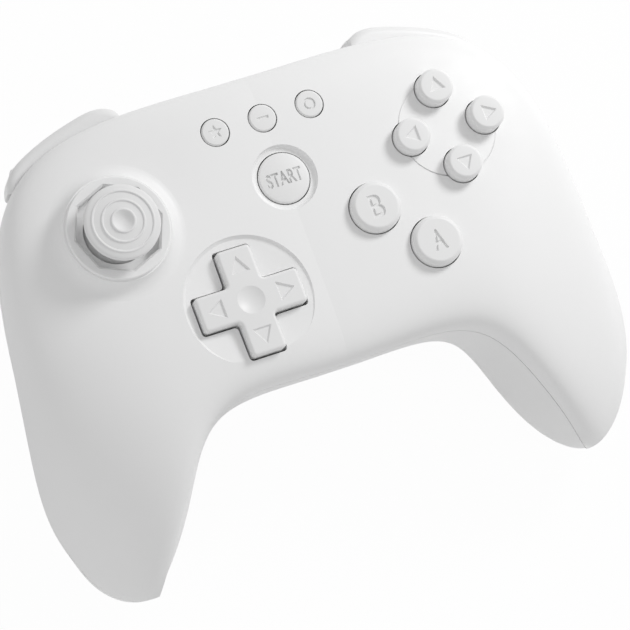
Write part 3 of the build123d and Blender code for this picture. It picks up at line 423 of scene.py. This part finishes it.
print("cross", len(cross.data.vertices), "corners,", len(cross.data.polygons), "faces")

# %% Round the cross
open_up(cross)
pick(cross, "EDGE", lambda middle, edge: abs(edge.verts[0].co.z - edge.verts[1].co.z) > 1 * MM)
bpy.ops.mesh.bevel(offset=arm_corner, segments=5)
pick(cross, "EDGE", lambda middle, edge: min(v.co.z for v in edge.verts) > rim - 0.01 * MM)
bpy.ops.mesh.bevel(offset=arm_round, segments=6)
seal(cross)
print("cross", len(cross.data.vertices), "corners,", len(cross.data.polygons), "faces")

# %% [markdown]
# The flange is turned, with the hollow for the ball drawn in its outline, and welded under the cross. The
# thumb's hollow is a large ball taken out of the top, and the arrows are the diamond's, a little larger.

# %% Flange, hollow and arrows
socket, boss, boss_under, ball_drop = 2.0 * MM, 3.0 * MM, 0.6 * MM, 2.1 * MM
pad_flange_out, pad_flange_thick = 14.6 * MM, 1.0 * MM
ball_height = flange_top - ball_drop
socket_arc = [
    (socket * math.cos(math.radians(angle)), socket * math.sin(math.radians(angle)))
    for angle in (17.5, 35, 52, 70)
]
base = Vector((pad.x, pad.y, ball_height))
lift = flange_top - ball_height
outline = [
    (0, lift), (pad_flange_out, lift), (pad_flange_out, lift - pad_flange_thick),
    (boss, lift - pad_flange_thick), (boss, boss_under),
]
outline += socket_arc + [(0, socket)]
flange = turned("pad_flange", base, outline, {1: flange_round})
merge_with(cross, flange, "UNION", careful=False)

hollow, hollow_depth = 3.4 * MM, 0.8 * MM
ball_radius = (hollow ** 2 + hollow_depth ** 2) / (2 * hollow_depth)
alone()
bpy.ops.mesh.primitive_uv_sphere_add(
    segments=96, ring_count=96, radius=ball_radius, location=(pad.x, pad.y, rim + ball_radius - hollow_depth))
ball = bpy.context.object
bpy.ops.object.transform_apply(location=True, rotation=True, scale=True)
merge_with(cross, ball, "DIFFERENCE", careful=False)
arrow_out, pad_arrow = 8.3 * MM, 2.85 * MM
for way, (dx, dy) in {"up": (0, 1), "down": (0, -1), "left": (-1, 0), "right": (1, 0)}.items():
    place = Vector((pad.x + dx * arrow_out, pad.y + dy * arrow_out, rim))
    merge_with(cross, arrow_tool(pad_arrow, place, way), "DIFFERENCE")
hand_over(cross, "dpad", "keys")

# %% [markdown]
# ## The stick's cap
# Seen from above it is a dished button with three fine raised rings, each a little lower than the next
# one in, on a neck that widens into the dome that closes the hole. The drawn solid has plain steps. Here
# the outline has real ridges with round crests, which catch the light as thin bright rings, so the
# corners of the ridges get a corner bevel. The bore below still takes the metal shaft. The outline is in
# millimetres above the point that the stick tilts about.

# %% Turn the stick's cap
low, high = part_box("stick_cap")
stick = (low + high) / 2
crest = 18.4
tilt_height = high.z - crest * MM
cap, bore, inner, outer = 9.1, 2.25, 9.2, 10.0


def arc(size, angles):
    return [(size * math.sin(math.radians(a)), size * math.cos(math.radians(a))) for a in angles]


under = [(0, 14.1), (bore, 14.1)] + arc(inner, (14.16, 22, 30, 38, 46, 54, 62, 68, 74))
under += arc(outer, (74, 68, 62, 54, 46, 38, 30, 25.47))
under += [(4.3, 15.3), (cap, 15.9), (cap, 17.0), (8.6, 17.35)]
ridges = [
    (7.65, 17.65), (7.5, 17.9), (7.15, 17.9), (7.0, 17.6), (5.35, 17.85), (5.2, 18.17), (4.85, 18.17),
    (4.7, 17.87), (3.05, 18.07), (2.9, crest), (2.55, crest), (2.2, 18.05), (1.6, 17.6), (0.9, 17.32),
    (0, 17.25),
]
outline = [(r * MM, z * MM) for r, z in under + ridges]
first = len(under)
crests = {first + k: 0.12 * MM for k in (1, 2, 5, 6, 9, 10)}
feet = {first + k: 0.1 * MM for k in (0, 3, 4, 7, 8, 11)}
rim_rounds = {first - 1: 0.25 * MM, first - 2: 0.3 * MM, first - 3: 0.3 * MM, first - 4: 0.6 * MM}
tilt_point = Vector((stick.x, stick.y, tilt_height))
stick_top = turned("stick_top", tilt_point, outline, {**crests, **feet, **rim_rounds})
hand_over(stick_top, "stick_cap", "stick")

# %% [markdown]
# Inside the eight-sided hole the real ring has a pale floor that almost touches the dome. A flat ring
# does it: its outer edge sits in the skirt that is drawn under the gate ring, and its bore leaves room
# for the stick's neck at its furthest tilt.

# %% Close the gate ring's floor
ring_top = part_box("stick_gate_ring")[1].z
plate_thick, floor_drop, floor_thick = 1.05, 2.6, 0.7
plate_under = (ring_top - tilt_height) / MM - plate_thick
floor_top = plate_under - floor_drop
floor_under = floor_top - floor_thick
skirt_inside, sunk, floor_bore, bore_round = 10.9, 0.05, 7.85, 0.15 * MM
outline = [
    (floor_bore, floor_under), (floor_bore, floor_top), (skirt_inside + sunk, floor_top),
    (skirt_inside + sunk, floor_under), (floor_bore, floor_under),
]
gate_floor = turned("gate_floor", tilt_point, [(r * MM, z * MM) for r, z in outline], {1: bore_round})
print("plate underside above the pivot", round(plate_under, 2), "gate floor from", round(floor_under, 2))
alone(gate_floor)
bpy.ops.object.shade_smooth_by_angle(angle=math.radians(32))
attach(gate_floor, frame["nodes"]["stick_gate_ring"]["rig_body"])
made_pieces[gate_floor.name] = "shell"

# %% [markdown]
# ## Finishes
# A moulded plastic is never one flat colour. Its surface has a fine spark-eroded grain from the
# mould, its gloss changes a little where hands rub it, and its white drifts by a percent or two. All
# of that comes from noise in the object's own space, so it stays put from every side and needs no
# picture. Values that are the same all over are set on the shader itself.

# %% Nodes for any finish
def blank_finish(name, metallic=0.0, specular=0.5):
    material = bpy.data.materials.new(name)
    material.use_nodes = True
    tree = material.node_tree
    shader = tree.nodes["Principled BSDF"]
    shader.inputs["Metallic"].default_value = metallic
    shader.inputs["Specular IOR Level"].default_value = specular
    place = tree.nodes.new("ShaderNodeTexCoord").outputs["Object"]
    return material, tree, shader, place


def noise(tree, place, per_metre, detail=2.0, stretch=(1, 1, 1)):
    """Soft noise with so many spots in a metre, longer along the axes with a small stretch value."""
    mapping = tree.nodes.new("ShaderNodeMapping")
    mapping.inputs["Scale"].default_value = stretch
    texture = tree.nodes.new("ShaderNodeTexNoise")
    texture.inputs["Scale"].default_value = per_metre
    texture.inputs["Detail"].default_value = detail
    tree.links.new(place, mapping.inputs["Vector"])
    tree.links.new(mapping.outputs["Vector"], texture.inputs["Vector"])
    return texture.outputs["Fac"]


def spread(tree, value, low, high, from_low=0.3, from_high=0.7):
    ranged = tree.nodes.new("ShaderNodeMapRange")
    ends = {"From Min": from_low, "From Max": from_high, "To Min": low, "To Max": high}
    for socket, number in ends.items():
        ranged.inputs[socket].default_value = number
    tree.links.new(value, ranged.inputs["Value"])
    return ranged.outputs["Result"]


def tint(tree, share, first_colour, second_colour):
    blend = tree.nodes.new("ShaderNodeMix")
    blend.data_type = "RGBA"
    blend.inputs[6].default_value = (*first_colour, 1)
    blend.inputs[7].default_value = (*second_colour, 1)
    tree.links.new(share, blend.inputs[0])
    return blend.outputs[2]


def relief(tree, shader, height, depth, strength):
    bump = tree.nodes.new("ShaderNodeBump")
    bump.inputs["Strength"].default_value = strength
    bump.inputs["Distance"].default_value = depth
    tree.links.new(height, bump.inputs["Height"])
    tree.links.new(bump.outputs["Normal"], shader.inputs["Normal"])


print("finish helpers ready")

# %% [markdown]
# ### Moulded plastics and rubbers
# One recipe serves the white shells, the slightly smoother keys, the soft cap of the stick, the grey
# inner frame, the black mouldings and the rubber sheets. They differ in colour, gloss and grain.

# %% Mix the moulded finishes
cloudy, handled_spots, grain_strength = 28, 160, 0.35


def moulded(name, colour, drift, gloss, grain, grain_depth, specular=0.5):
    """Plastic or rubber: a slow drift of colour and gloss, and a fine grain."""
    material, tree, shader, place = blank_finish(name, specular=specular)
    slow = noise(tree, place, cloudy, 3)
    handled = noise(tree, place, handled_spots, 4)
    fine = noise(tree, place, grain, 2)
    other = [value * (1 - drift) for value in colour]
    share = spread(tree, slow, 0, 1)
    tree.links.new(tint(tree, share, colour, other), shader.inputs["Base Color"])
    tree.links.new(spread(tree, handled, gloss - 0.05, gloss + 0.06), shader.inputs["Roughness"])
    relief(tree, shader, fine, grain_depth, grain_strength)
    return material


finishes = {
    "shell": moulded("white_satin_shell", (0.88, 0.88, 0.88), 0.015, 0.48, 3600, 0.012 * MM, 0.4),
    "keys": moulded("white_smooth_keys", (0.83, 0.83, 0.83), 0.015, 0.42, 5200, 0.006 * MM, 0.4),
    "stick": moulded("white_soft_cap", (0.8, 0.8, 0.8), 0.02, 0.62, 4200, 0.01 * MM, 0.3),
    "frame": moulded("grey_frame", (0.42, 0.43, 0.45), 0.06, 0.5, 2600, 0.02 * MM),
    "black": moulded("black_moulding", (0.02, 0.02, 0.022), 0.2, 0.45, 2600, 0.02 * MM),
    "rubber": moulded("grey_rubber", (0.28, 0.29, 0.3), 0.08, 0.7, 3000, 0.02 * MM, 0.3),
}
print("moulded finishes", sorted(finishes))

# %% [markdown]
# ### Board, battery and metal
# The board has a green mask with raised copper tracks under it, the battery a wrinkled blue film, and
# the metal pieces are drawn or rolled, so their fine lines run one way. Nobody sees them before
# the pad is opened, but a part is used in more ways than one picture.

# %% Mix the inner finishes
material, tree, shader, place = blank_finish("green_board_mask")
tracks = tree.nodes.new("ShaderNodeTexVoronoi")
tracks.feature = "DISTANCE_TO_EDGE"
tracks.distance = "MANHATTAN"
tracks.inputs["Scale"].default_value = 420
tree.links.new(place, tracks.inputs["Vector"])
copper = spread(tree, tracks.outputs["Distance"], 1, 0, 0.06, 0.09)
tree.links.new(tint(tree, copper, (0.012, 0.11, 0.045), (0.03, 0.22, 0.08)), shader.inputs["Base Color"])
tree.links.new(spread(tree, noise(tree, place, 300, 3), 0.22, 0.38), shader.inputs["Roughness"])
relief(tree, shader, copper, 0.03 * MM, 0.5)
finishes["board"] = material

material, tree, shader, place = blank_finish("blue_film_wrap")
wrinkles = noise(tree, place, 120, 5, (1, 0.25, 1))
film_blue = tint(tree, spread(tree, wrinkles, 0, 1), (0.03, 0.06, 0.2), (0.05, 0.1, 0.3))
tree.links.new(film_blue, shader.inputs["Base Color"])
tree.links.new(spread(tree, noise(tree, place, 60, 2), 0.15, 0.32), shader.inputs["Roughness"])
relief(tree, shader, wrinkles, 0.12 * MM, 0.4)
finishes["cell"] = material

material, tree, shader, place = blank_finish("drawn_steel", metallic=1.0)
lines = noise(tree, place, 900, 4, (1, 0.06, 1))
stains = noise(tree, place, 90, 3)
steel_grey = tint(tree, spread(tree, stains, 0, 1), (0.62, 0.62, 0.63), (0.5, 0.5, 0.51))
tree.links.new(steel_grey, shader.inputs["Base Color"])
tree.links.new(spread(tree, lines, 0.2, 0.42), shader.inputs["Roughness"])
relief(tree, shader, lines, 0.01 * MM, 0.3)
finishes["steel"] = material
print("all finishes", sorted(finishes))

# %% Give every piece its finish
def dress(piece, material):
    if not piece.material_slots:
        piece.data.materials.append(material)
    for slot in piece.material_slots:
        slot.material = material


for part in frame["record"]["subparts"]:
    dress(frame["nodes"][part["node"]], finishes[part["material_slot"]])
for name, slot in made_pieces.items():
    dress(bpy.data.objects[name], finishes[slot])
print("dressed", len(frame["nodes"]), "nodes and", len(made_pieces), "new pieces")

# %% [markdown]
# ## The camera
# The picture was taken from far away with a long lens, almost straight down on the face and turned, so
# the pad runs up to the right. The direction, distance and lens are numbers that were found by matching
# the places of the keys. Three directions, right, up and back, make the camera's own axes.

# %% Set the camera
view_right = Vector((0.9074, -0.3505, 0.2317)).normalized()
view_back = Vector((-0.2994, -0.1525, 0.9419)).normalized()
view_up = view_back.cross(view_right).normalized()
view_right = view_up.cross(view_back)
camera_place = Vector((-0.2519, -0.1353, 0.8227))
alone()
bpy.ops.object.camera_add()
camera = bpy.context.object
axes = Matrix((view_right, view_up, view_back)).transposed().to_4x4()
camera.matrix_world = Matrix.Translation(camera_place) @ axes
camera.data.sensor_width = 36
camera.data.lens = 200
camera.data.clip_start = 0.01
bpy.context.scene.camera = camera
print("camera at", [round(value, 3) for value in camera.matrix_world.translation])

# %% [markdown]
# ## The studio
# A white object on white needs its light from one side, or its shapes vanish. The main soft light hangs
# low at the picture's upper right, not far away, so the right of the pad is brighter than the left, and
# each key throws a soft shadow to the lower left. A large weak one at the lower left lights the sides of
# the grips, and the room's own pale light does the rest. The floor and the room look plain white to the
# camera, and the floor still takes a faint shadow.

# %% Hang the lamps
aim = Vector((0, 0, 0.035))
key_watts = 1.95
fill_watts = 0.5
dome_level = 0.56
paper_white = 0.97


def soft_lamp(name, right, up, back, size, watts):
    """A round soft lamp, placed as the picture sees it: so far right, up and towards the camera."""
    place = aim + view_right * right + view_up * up + view_back * back
    alone()
    bpy.ops.object.light_add(type="AREA", location=place)
    lamp = bpy.context.object
    lamp.name = name
    lamp.rotation_euler = (aim - place).to_track_quat("-Z", "Y").to_euler()
    lamp.data.shape = "DISK"
    lamp.data.size = size
    lamp.data.energy = watts
    lamp.visible_camera = False
    print(name, "at", [round(value, 2) for value in place], watts, "W")


soft_lamp("key_lamp", right=0.40, up=0.45, back=0.2, size=0.2, watts=key_watts)
soft_lamp("fill_lamp", right=-0.35, up=-0.55, back=0.35, size=0.5, watts=fill_watts)

# %% Floor and room
def seen_directly(tree):
    """1 for rays that show the background: from the camera, off gloss, or through glass."""
    path = tree.nodes.new("ShaderNodeLightPath")
    total = path.outputs["Is Camera Ray"]
    for ray in ("Is Glossy Ray", "Is Transmission Ray"):
        plus = tree.nodes.new("ShaderNodeMath")
        plus.operation = "ADD"
        plus.use_clamp = True
        tree.links.new(total, plus.inputs[0])
        tree.links.new(path.outputs[ray], plus.inputs[1])
        total = plus.outputs[0]
    return total


alone()
bpy.ops.mesh.primitive_plane_add(size=4)
floor = bpy.context.object
floor.name = "floor"
paper = bpy.data.materials.new("white_paper")
paper.use_nodes = True
tree = paper.node_tree
shader = tree.nodes["Principled BSDF"]
shader.inputs["Base Color"].default_value = (0.82, 0.82, 0.82, 1)
shader.inputs["Roughness"].default_value = 0.9
white = tree.nodes.new("ShaderNodeEmission")
blend = tree.nodes.new("ShaderNodeMixShader")
share = tree.nodes.new("ShaderNodeMath")
share.operation = "MULTIPLY"
share.inputs[1].default_value = paper_white
tree.links.new(seen_directly(tree), share.inputs[0])
tree.links.new(share.outputs[0], blend.inputs[0])
tree.links.new(shader.outputs[0], blend.inputs[1])
tree.links.new(white.outputs[0], blend.inputs[2])
tree.links.new(blend.outputs[0], tree.nodes["Material Output"].inputs["Surface"])
dress(floor, paper)

room = bpy.context.scene.world or bpy.data.worlds.new("room")
bpy.context.scene.world = room
room.use_nodes = True
tree = room.node_tree
soft = tree.nodes["Background"]
soft.inputs["Color"].default_value = (1, 1, 1, 1)
soft.inputs["Strength"].default_value = dome_level
bright = tree.nodes.new("ShaderNodeBackground")
bright.inputs["Color"].default_value = (1, 1, 1, 1)
blend = tree.nodes.new("ShaderNodeMixShader")
tree.links.new(seen_directly(tree), blend.inputs[0])
tree.links.new(soft.outputs[0], blend.inputs[1])
tree.links.new(bright.outputs[0], blend.inputs[2])
tree.links.new(blend.outputs[0], tree.nodes["World Output"].inputs["Surface"])
bpy.context.scene.view_settings.view_transform = "Standard"
print("floor", floor.name, "room light", dome_level)

# %% [markdown]
# ## Finish

# %% Finish
import json
